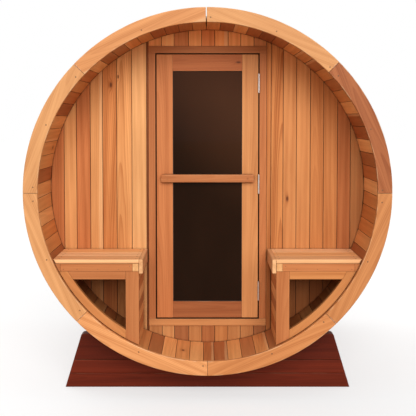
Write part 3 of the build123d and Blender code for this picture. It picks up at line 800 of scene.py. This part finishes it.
hb = Boards("door_handle_bar_board")
rng = random.Random(940)
hb.facing([(-0.290, 0.033, 0.010), (0.290, 0.033, 0.010), (0.290, 0.082, 0.010), (-0.290, 0.082, 0.010)], FACE - 0.040, FACE,
          (1, 0), (0, 1), tone("reddish", rng, 0.88, 0.02), rng, back=0.0015, front=0.006, steps=5, k=7, pith=(0.01, 0.05))
hb.make(M_DOOR, "door", "wood_door", ["door_handle_bar"])


def disc_outline(cx, cz, r, n=20):
    return [(cx + r * math.cos(2 * math.pi * i / n), cz + r * math.sin(2 * math.pi * i / n)) for i in range(n)]


hp = Boards("door_handle_plugs")
for x in (-0.250, 0.250):
    rng = random.Random(950 + int(x * 10))
    hp.facing(disc_outline(x, 0.0575, 0.0065), FACE - 0.0406, FACE - 0.034, (0, 1), (1, 0), tone("reddish", rng, 0.78), rng, back=0.0, front=0.0008, steps=2)
hp.make(M_DOOR, "door", "wood_door")

# the dark seal round the glass, front and back
GT, GB = LEAF_TOP - RAIL_H, LEAF_BOT + RAIL_H
sl = Boards("door_glazing_seal")
rng = random.Random(955)
for y in (FACE + 0.0115, FACE + 0.0212):
    for x0, x1, z0, z1 in ((-GH, GH, GT - 0.0035, GT), (-GH, GH, GB, GB + 0.0035), (-GH, -GH + 0.0035, GB, GT), (GH - 0.0035, GH, GB, GT)):
        sl.facing([(x0, z0), (x1, z0), (x1, z1), (x0, z1)], y, y + 0.0014, (1, 0), (0, 1), (0.01, 0.01, 0.01), rng, back=0.0, front=0.0006, steps=1)
sl.make(M_SEAL, "door", None)

nodes = frame["nodes"]


def dress(name, material):
    """A carried-over CAD node keeps its shape and gets its material."""
    o = nodes[name]
    o.data.materials.clear()
    o.data.materials.append(material)


dress("door_glass", M_GLASS)
dress("hinge_door_halves", M_HINGE)
dress("hinge_jamb_halves", M_HINGE)

# ------------------------------------------------------------------- benches
IN = S_IN - 0.0005
cx = lambda z, r=IN: math.sqrt(max(0, r * r - z * z))


def mirror(pts, s):
    """The outline on the other side, kept in the same turning direction."""
    return pts if s > 0 else [(-p[0], *p[1:]) for p in pts[::-1]]


def mirror_mask(mask, s):
    return mask if s > 0 else mask[::-1][1:] + [mask[::-1][0]]


bw = (B1 - B0 - 2 * 0.004) / 3
bt = {1: ["sat_edge", "palest", "sat_on"], -1: ["sat_edge", "sat_on", "palest"]}
bearers, posts, trails, curves = Boards("bench_bearer_boards"), Boards("bench_post_boards"), Boards("bench_top_rail_boards"), Boards("bench_curved_rail_boards")
for s in (1, -1):
    side = "right" if s > 0 else "left"
    seat = Boards(side + "_bench_seat_boards")
    for i in range(3):
        rng = random.Random(1000 + 10 * s + i)
        y = B0 + i * (bw + 0.004)
        pts = [(0.4003, SEAT_BOT, 0.0012), (cx(SEAT_BOT) - 0.0004, SEAT_BOT, 0.0012), (cx(SEAT_TOP) - 0.0004, SEAT_TOP, 0.0012), (0.4003, SEAT_TOP, 0.0012)]
        mask = [1.0, 1.0 if i == 0 else 0.3, 1.0, 0.12]
        seat.facing(mirror(pts, s), y, y + bw, (1, 0), (0, 1), tone(bt[s][i], rng, [1.02, 1.17, 1.17][i], 0.02), rng,
                    front=0.011 if i == 0 else 0.003, back=0.003, steps=6 if i == 0 else 3, mask=mirror_mask(mask, s), pith=(0.02, 0.06))
    seat.make(M_BENCH, "building", "wood_bench", [side + "_bench_seat"])

    nose = Boards(side + "_bench_nosing_board")
    rng = random.Random(1020 + s)
    pts = [(0.377, -0.471, 0.005), (0.400, -0.471, 0.003), (0.400, SEAT_TOP, 0.003), (0.377, SEAT_TOP, 0.006)]
    nose.inward(mirror(pts, s), B0 - 0.001, B1, tone("sat_edge", rng, 0.96, 0.02), rng, front=0.004, across=(0, 1, 0), endgain=0.92)
    nose.make(M_BENCH, "building", "wood_bench", [side + "_bench_nosing"])

    rng = random.Random(1030 + s)
    for x0, x1 in ((0.402, 0.437), (0.858, 0.893)):
        pts = [(x0, BEAR_BOT, R15), (min(x1, cx(BEAR_BOT)), BEAR_BOT, R15), (min(x1, cx(SEAT_BOT)), SEAT_BOT, R15), (x0, SEAT_BOT, R15)]
        bearers.inward(mirror(pts, s), B0 + 0.004, B1, tone("palest" if x0 < 0.5 else "reddish", rng, 0.92, 0.03), rng, endgain=0.98, front=0.0015)

    ap = Boards(side + "_bench_apron_board")
    rng = random.Random(1040 + s)
    pts = [(0.4375, BEAR_BOT, 0.002), (0.8575, BEAR_BOT, 0.002), (0.8575, SEAT_BOT, 0.002), (0.4375, SEAT_BOT, 0.002)]
    ap.facing(mirror(pts, s), B0 + 0.004, B0 + 0.028, (1, 0), (0, 1), tone("reddish", rng, 1.04 if s > 0 else 0.96, 0.02), rng, front=0.002)
    ap.make(M_BENCH, "building", "wood_bench", [side + "_bench_apron"])

    rng = random.Random(1050 + s)
    xs = [0.401 + 0.077 * i / 6 for i in range(7)]
    pts = [(x, -cx(x)) for x in xs] + [(0.478, BEAR_BOT), (0.401, BEAR_BOT)]
    posts.facing(mirror(pts, s), FR0, FR1, (0, 1), (1, 0), tone("reddish", rng, 1.0 if s > 0 else 0.90, 0.02), rng, front=0.0025, pith=(0.03, 0.05))

    rng = random.Random(1060 + s)
    rr = IN - 0.046 - 0.0003
    zs = [RAIL_BOT + (BEAR_BOT - RAIL_BOT) * i / 4 for i in range(5)]
    pts = [(0.4782, RAIL_BOT)] + [(cx(z, rr), z) for z in zs] + [(0.4782, BEAR_BOT)]
    trails.facing(mirror(pts, s), FR0, FR1, (1, 0), (0, 1), tone("orange" if s > 0 else "reddish", rng, 0.98 if s > 0 else 0.96, 0.02), rng, front=0.0025)

    rng = random.Random(1070 + s)
    ri = IN - 0.046
    o0, o1 = -math.degrees(math.acos(0.478 / IN)), -math.degrees(math.asin(-BEAR_BOT / IN))
    i0, i1 = -math.degrees(math.acos(0.478 / ri)), -math.degrees(math.asin(-BEAR_BOT / ri))
    N = 20
    pts = [pol(IN, o0 + (o1 - o0) * i / N) for i in range(N + 1)] + [pol(ri, i1 + (i0 - i1) * i / N) for i in range(N + 1)]
    am = rad((o0 + o1) / 2)
    along, acr = (-math.sin(am) * s, math.cos(am)), (math.cos(am) * s, math.sin(am))
    curves.facing(mirror(pts, s), FR0, FR1, along, acr, tone("orange", rng, 0.92, 0.02), rng, front=0.0025)

    panel = Boards(side + "_bench_side_boards")
    z = BEAR_BOT
    ptones = ["light", "reddish", "palest", "brown", "light", "reddish", "light", "brown"]
    i = 0
    bot_out = -cx(0.422)
    while z > -cx(0.402):
        rng = random.Random(1080 + 20 * s + i)
        zn = z - 0.063
        if zn < -cx(0.422) + 0.012:
            pts = [(0.402, -cx(0.402) + 0.0002), (0.412, -cx(0.412) + 0.0002), (0.422, -cx(0.422) + 0.0002), (0.422, z - 0.001), (0.402, z - 0.001)]
            zn = -2
        else:
            pts = [(0.402, zn + 0.001, 0.002), (0.422, zn + 0.001, 0.002), (0.422, z - (0.001 if i else 0.0004), 0.002 if i else 0.0005), (0.402, z - (0.001 if i else 0.0004), 0.002 if i else 0.0005)]
            key = [(0.4085, zn - 0.004), (0.4155, zn - 0.004), (0.4155, zn + 0.004), (0.4085, zn + 0.004)]
            # the key takes a dark tone: painted shade in the open joint in front of it
            panel.inward(mirror(key, s), FR1 + 0.0006, B1 - 0.0006, tone("dark", rng, 0.7), rng, front=0.0, back=0.0, across=(0, 1, 0))
        panel.inward(mirror(pts, s), FR1, B1, tone(ptones[i % 8], rng, 1.12, 0.03), rng, front=0.0008, back=0.0008, across=(0, 1, 0))
        z = zn
        i += 1
    panel.make(M_BENCH, "building", "wood_bench", [side + "_bench_side_panel"])
bearers.make(M_BENCH, "building", "wood_bench", ["bench_bearers"])
posts.make(M_BENCH, "building", "wood_bench", ["bench_posts"])
trails.make(M_BENCH, "building", "wood_bench", ["bench_top_rails"])
curves.make(M_BENCH, "building", "wood_bench", ["bench_curved_rails"])

# -------------------------------------------------------------- inside floor
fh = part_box("interior_floor")[1].x
fl = Boards("interior_floor_slats")
ns = 10
for i in range(ns):
    rng = random.Random(1200 + i)
    w = 2 * fh / ns
    x0, x1 = -fh + w * i, -fh + w * (i + 1)
    x0, x1 = x0 + (0.003 if i else 0), x1 - (0.003 if i < ns - 1 else 0)
    fl.inward([(x0, FLOOR_BOT, R3), (x1, FLOOR_BOT, R3), (x1, FLOOR_TOP, 0.004), (x0, FLOOR_TOP, 0.004)], FL0, FL1,
              tone(rng.choice(["light", "mid", "orange", "palest"]), rng), rng)
fl.make(M_FLOOR, "building", "wood_floor", ["interior_floor"])
fb = Boards("floor_bearer_boards")
for i in range(4):
    rng = random.Random(1220 + i)
    y = FL0 + 0.060 + i * (FL1 - FL0 - 0.120 - 0.045) / 3
    xs = [-fh + 2 * fh * j / 24 for j in range(25)]
    pts = [(x, -cx(x)) for x in xs] + [(fh, FLOOR_BOT), (-fh, FLOOR_BOT)]
    fb.facing(pts, y, y + 0.045, (1, 0), (0, 1), tone("mid", rng), rng)
fb.make(M_FLOOR, "building", "wood_floor", ["floor_bearers"])

# ------------------------------------------------------------------- cradles
CB, CT, CH = 0.872, 0.771, 0.331


def cradle(name, y0, y1, seed):
    part = Boards(name + "_boards")
    xa = lambda h: CB + (CT - CB) * h / CH
    rc = S_OUT + 0.0003
    cuts = [0.0, 0.086, 0.170, CH]
    for i, (h0, h1) in enumerate(zip(cuts[:-1], cuts[1:])):
        rng = random.Random(seed + i)
        a, b = h0 + (0.0004 if i else 0), h1 - (0.0004 if i < 2 else 0)
        if i < 2:
            pts = [(-xa(a), a - AX, 0.002), (xa(a), a - AX, 0.002), (xa(b), b - AX, 0.003), (-xa(b), b - AX, 0.003)]
        else:
            xt = math.sqrt(rc * rc - (AX - CH) ** 2)
            N = 48
            t0 = math.degrees(math.acos(xt / rc))
            arcp = [pol(rc, -t0 - (180 - 2 * t0) * j / N) for j in range(N + 1)]
            pts = [(-xa(a), a - AX, 0.003), (xa(a), a - AX, 0.003), (CT, CH - AX, 0.018)] + arcp + [(-CT, CH - AX, 0.018)]
        part.facing(pts, y0, y1, (1, 0), (0, 1), tone("mahogany", rng, [1.10, 1.20, 0.86][i], 0.04), rng,
                    back=0.004, front=0.004, steps=3, k=6, pith=(rng.uniform(-0.05, 0.05), 0.08))
    part.make(M_CRADLE, "building", "wood_cradle", [name])


cradle("front_cradle", CR0, CR1, 1300)
cradle("rear_cradle", RC0, RC1, 1310)

# --------------------------------------------------------------- steel hoops
hoop = Boards("hoop_bands")
H0, HT, HW = S_OUT + 0.0003, 0.0016, 0.032
rng = random.Random(1400)
for y in (-1.060, 0.0, 1.060):
    half = math.degrees(0.017 / H0)
    a0, a1 = -28 + half, 332 - half
    N = 220
    ring = [rad(a0 + (a1 - a0) * i / N) for i in range(N + 1)]
    prof = [(H0, -0.5), (H0, 0.5), (H0 + HT * 0.6, 0.5), (H0 + HT, 0.475), (H0 + HT, -0.475), (H0 + HT * 0.6, -0.5)]
    co = np.array([[r * math.cos(a), y + q * HW, AX + r * math.sin(a)] for a in ring for r, q in prof])
    m = len(prof)
    base = hoop.count
    faces = []
    for i in range(N):
        for j in range(m):
            j2 = (j + 1) % m
            faces.append([base + i * m + j, base + i * m + j2, base + (i + 1) * m + j2, base + (i + 1) * m + j])
    faces.append([base + j for j in range(m)][::-1])
    faces.append([base + N * m + j for j in range(m)])
    hoop.co.append(co)
    hoop.faces += faces
    hoop.edge += [0.0] * len(faces)
    hoop.fdir += [(0, 0, 1)] * len(faces)
    for lst in (hoop.grain, hoop.feat, hoop.knot):
        lst.append(np.zeros((len(co), 3)))
    hoop.tone.append(np.ones((len(co), 4)))
    hoop.count += len(co)
    a = rad(-28)
    rv, tv = (math.cos(a), 0, math.sin(a)), (-math.sin(a), 0, math.cos(a))
    rb = H0 + 0.012 + 0.0015
    org = (rb * math.cos(a), y, AX + rb * math.sin(a))
    for s in (-1, 1):
        c = s * (0.017 - 0.0025 + 0.0012)
        hoop.add([(-0.0135, -HW / 2, 0.001), (0.0108, -HW / 2, 0.004), (0.0108, HW / 2, 0.004), (-0.0135, HW / 2, 0.001)], c - 0.0025, c + 0.0025,
                 org, rv, (0, 1, 0), tv, (1, 0, 0), (0, 1, 0), (1, 1, 1), rng, e0=0.0008, e1=0.0008, steps=2)
        c0 = s * 0.018
        hexa = [(0.0080 * math.cos(rad(60 * i)), 0.0080 * math.sin(rad(60 * i))) for i in range(6)]
        lo, hi = sorted((c0 + s * 0.0007, c0 + s * 0.0067))
        hoop.add(hexa, lo, hi, org, rv, (0, 1, 0), tv, (1, 0, 0), (0, 1, 0), (1, 1, 1), rng, e0=0.0009, e1=0.0009, steps=2)
        hoop.add(disc_outline(0, 0, 0.0086, 24), min(c0, c0 + s * 0.0007), max(c0, c0 + s * 0.0007), org, rv, (0, 1, 0), tv, (1, 0, 0), (0, 1, 0),
                 (1, 1, 1), rng, e0=0.0, e1=0.0)
    hoop.add(disc_outline(0, 0, 0.0040, 20), -0.034, 0.034, org, rv, (0, 1, 0), tv, (1, 0, 0), (0, 1, 0), (1, 1, 1), rng, e0=0.0008, e1=0.0008, steps=2)
hoop.make(M_HOOP, "building", "hoop_steel", ["steel_hoops"], turn=True)

# -------------------------------------------------------------------- screws
screws = Boards("screw_heads")


def screw(x, y, z, direction, r=0.0042, proud=PROUD):
    """A countersunk head: a low ring with a square socket sunk in its middle."""
    rng = random.Random(int(1e4 * (x + 3 * z + 7 * y)) & 0xFFFF)
    d = np.array(direction, float)
    u = np.cross(d, (0.3, 0.2, 0.9))
    u /= np.linalg.norm(u)
    v = np.cross(d, u)
    n = 16
    rings = [(r, -0.0006), (r, proud * 0.5), (r * 0.92, proud), (r * 0.42, proud), (r * 0.36, -0.0002)]
    co = []
    for q, (rr, h) in enumerate(rings):
        for i in range(n):
            t = 2 * math.pi * i / n
            f = 1.0
            if q >= 3:                              # the socket is square
                f = 1.0 / max(abs(math.cos(t)), abs(math.sin(t))) * 0.80
            co.append(np.array([x, y, z]) + d * h + (u * math.cos(t) + v * math.sin(t)) * rr * f)
    base = screws.count
    faces = []
    for q in range(len(rings) - 1):
        for i in range(n):
            i2 = (i + 1) % n
            faces.append([base + q * n + i, base + q * n + i2, base + (q + 1) * n + i2, base + (q + 1) * n + i])
    faces.append([base + (len(rings) - 1) * n + i for i in range(n)])
    faces.append([base + i for i in range(n)][::-1])
    co = np.array(co)
    screws.co.append(co)
    screws.faces += faces
    screws.edge += [0.0] * len(faces)
    screws.fdir += [tuple(d)] * len(faces)
    for lst in (screws.grain, screws.feat, screws.knot):
        lst.append(np.zeros((len(co), 3)))
    screws.tone.append(np.ones((len(co), 4)))
    screws.count += len(co)


for a in (1, 21.5, 42, 46, 67, 89, 112, 138.5, 157, 178, 182.6, 202.5, 222.6, 246.6, 268.5, 291.8, 312, 336.8, 357):
    x, z = pol(1.0085, a)
    screw(x, Y0 + PROUD, AX + z, (0, -1, 0))
for k in range(8):
    for da in (1.9, 15, 30, 42.8):
        x, z = pol(1.0085, RING_JOINTS[k] + da)
        screw(x, Y1 - PROUD, AX + z, (0, 1, 0))
for s in (-1, 1):
    for x in (0.455, 0.52, 0.64, 0.76, 0.84):
        screw(s * x, B0 + 0.004, AX + BEAR_BOT + 0.012 + 0.018 * (int(x * 100) % 2), (0, -1, 0), 0.0022, 0.0003)
    for i in range(3):
        yb = B0 + i * (bw + 0.004)
        for dy in (0.035, bw - 0.035):
            for x in (0.4195, 0.868):
                screw(s * x, yb + dy, AX + SEAT_TOP, (0, 0, 1), 0.0038, 0.0004)
screws.make(M_SCREW, "building", None, turn=True)

# ---------------------------------------------------------- stage and lights
def floor_material(name, low, high, glow):
    n = Net(name)
    co = n.node("ShaderNodeTexCoord").outputs["Object"]
    v = n.noise(co, 1.5, 2)
    colour = n.mix(v, low, high)
    return n.surface(Base_Color=colour, Roughness=0.9, Specular_IOR_Level=0.0, Emission_Color=(1.0, 1.0, 1.0, 1.0), Emission_Strength=glow)


def only(ob, camera):
    """A stage piece that is either only seen or only lights and shades."""
    ob.visible_camera = camera
    ob.visible_shadow = not camera
    for flag in ("visible_diffuse", "visible_glossy", "visible_transmission", "visible_volume_scatter"):
        setattr(ob, flag, not camera)


S = 60.0
for name, z, low, high, seen, glow in (("studio_floor", -0.0006, (0.41, 0.41, 0.41), (0.43, 0.43, 0.43), True, 0.58),
                                 ("studio_floor_bounce", -0.0016, (0.46, 0.39, 0.325), (0.49, 0.415, 0.35), False, 0.0)):
    me = bpy.data.meshes.new(name)
    me.from_pydata([(-S, -S, 0), (S, -S, 0), (S, S, 0), (-S, S, 0)], [], [[0, 1, 2, 3]])
    floor = bpy.data.objects.new(name, me)
    bpy.context.scene.collection.objects.link(floor)
    me.materials.append(floor_material(name, low, high, glow))
    floor.location.z = z
    only(floor, seen)

# a plain white surround, seen by the camera alone
bm = bmesh.new()
bmesh.ops.create_uvsphere(bm, u_segments=48, v_segments=24, radius=58.0)
bmesh.ops.reverse_faces(bm, faces=bm.faces)
me = bpy.data.meshes.new("studio_surround")
bm.to_mesh(me)
bm.free()
surround = bpy.data.objects.new("studio_surround", me)
bpy.context.scene.collection.objects.link(surround)
paper = Net("surround_paper")
glow = paper.node("ShaderNodeEmission")
glow.inputs[0].default_value = (1.0, 1.0, 1.0, 1.0)
glow.inputs[1].default_value = 1.0
paper.t.links.new(glow.outputs[0], paper.out.inputs[0])
me.materials.append(paper.m)
only(surround, True)

world = bpy.data.worlds.new("studio")
bpy.context.scene.world = world
world.use_nodes = True
bg = world.node_tree.nodes["Background"]
bg.inputs[0].default_value = (1.0, 1.0, 1.0, 1.0)
bg.inputs[1].default_value = 0.56


def sun(name, towards, spread, strength, colour=(1, 1, 1)):
    """A far soft light; towards points from the sauna to it."""
    L = bpy.data.lights.new(name, "SUN")
    L.angle = rad(spread)
    L.energy = strength
    L.color = colour
    o = bpy.data.objects.new(name, L)
    o.rotation_mode = "QUATERNION"
    o.rotation_quaternion = (-Vector(towards)).to_track_quat("-Z", "Y")
    bpy.context.scene.collection.objects.link(o)
    return o


sun("key", (0.10, -1.0, 0.44), 35, 1.95)
sun("front", (0.06, -1.0, 0.06), 46, 1.20).visible_glossy = False
sun("back", (-0.5, 1.0, 1.25), 60, 1.1)

bpy.context.scene.view_settings.view_transform = "Standard"

# -------------------------------------------------------------------- camera
cam_data = bpy.data.cameras.new("camera")
cam = bpy.data.objects.new("camera", cam_data)
bpy.context.scene.collection.objects.link(cam)
cam.location = (-0.011, -6.819, 1.656)
cam.rotation_mode = "XYZ"
cam.rotation_euler = (rad(90 - 3.2), 0, 0)
cam_data.lens = 84.3
cam_data.sensor_width = 36
cam_data.shift_x = 0.0056
cam_data.shift_y = -0.088
cam_data.clip_start = 0.05
cam_data.clip_end = 400
bpy.context.scene.camera = cam
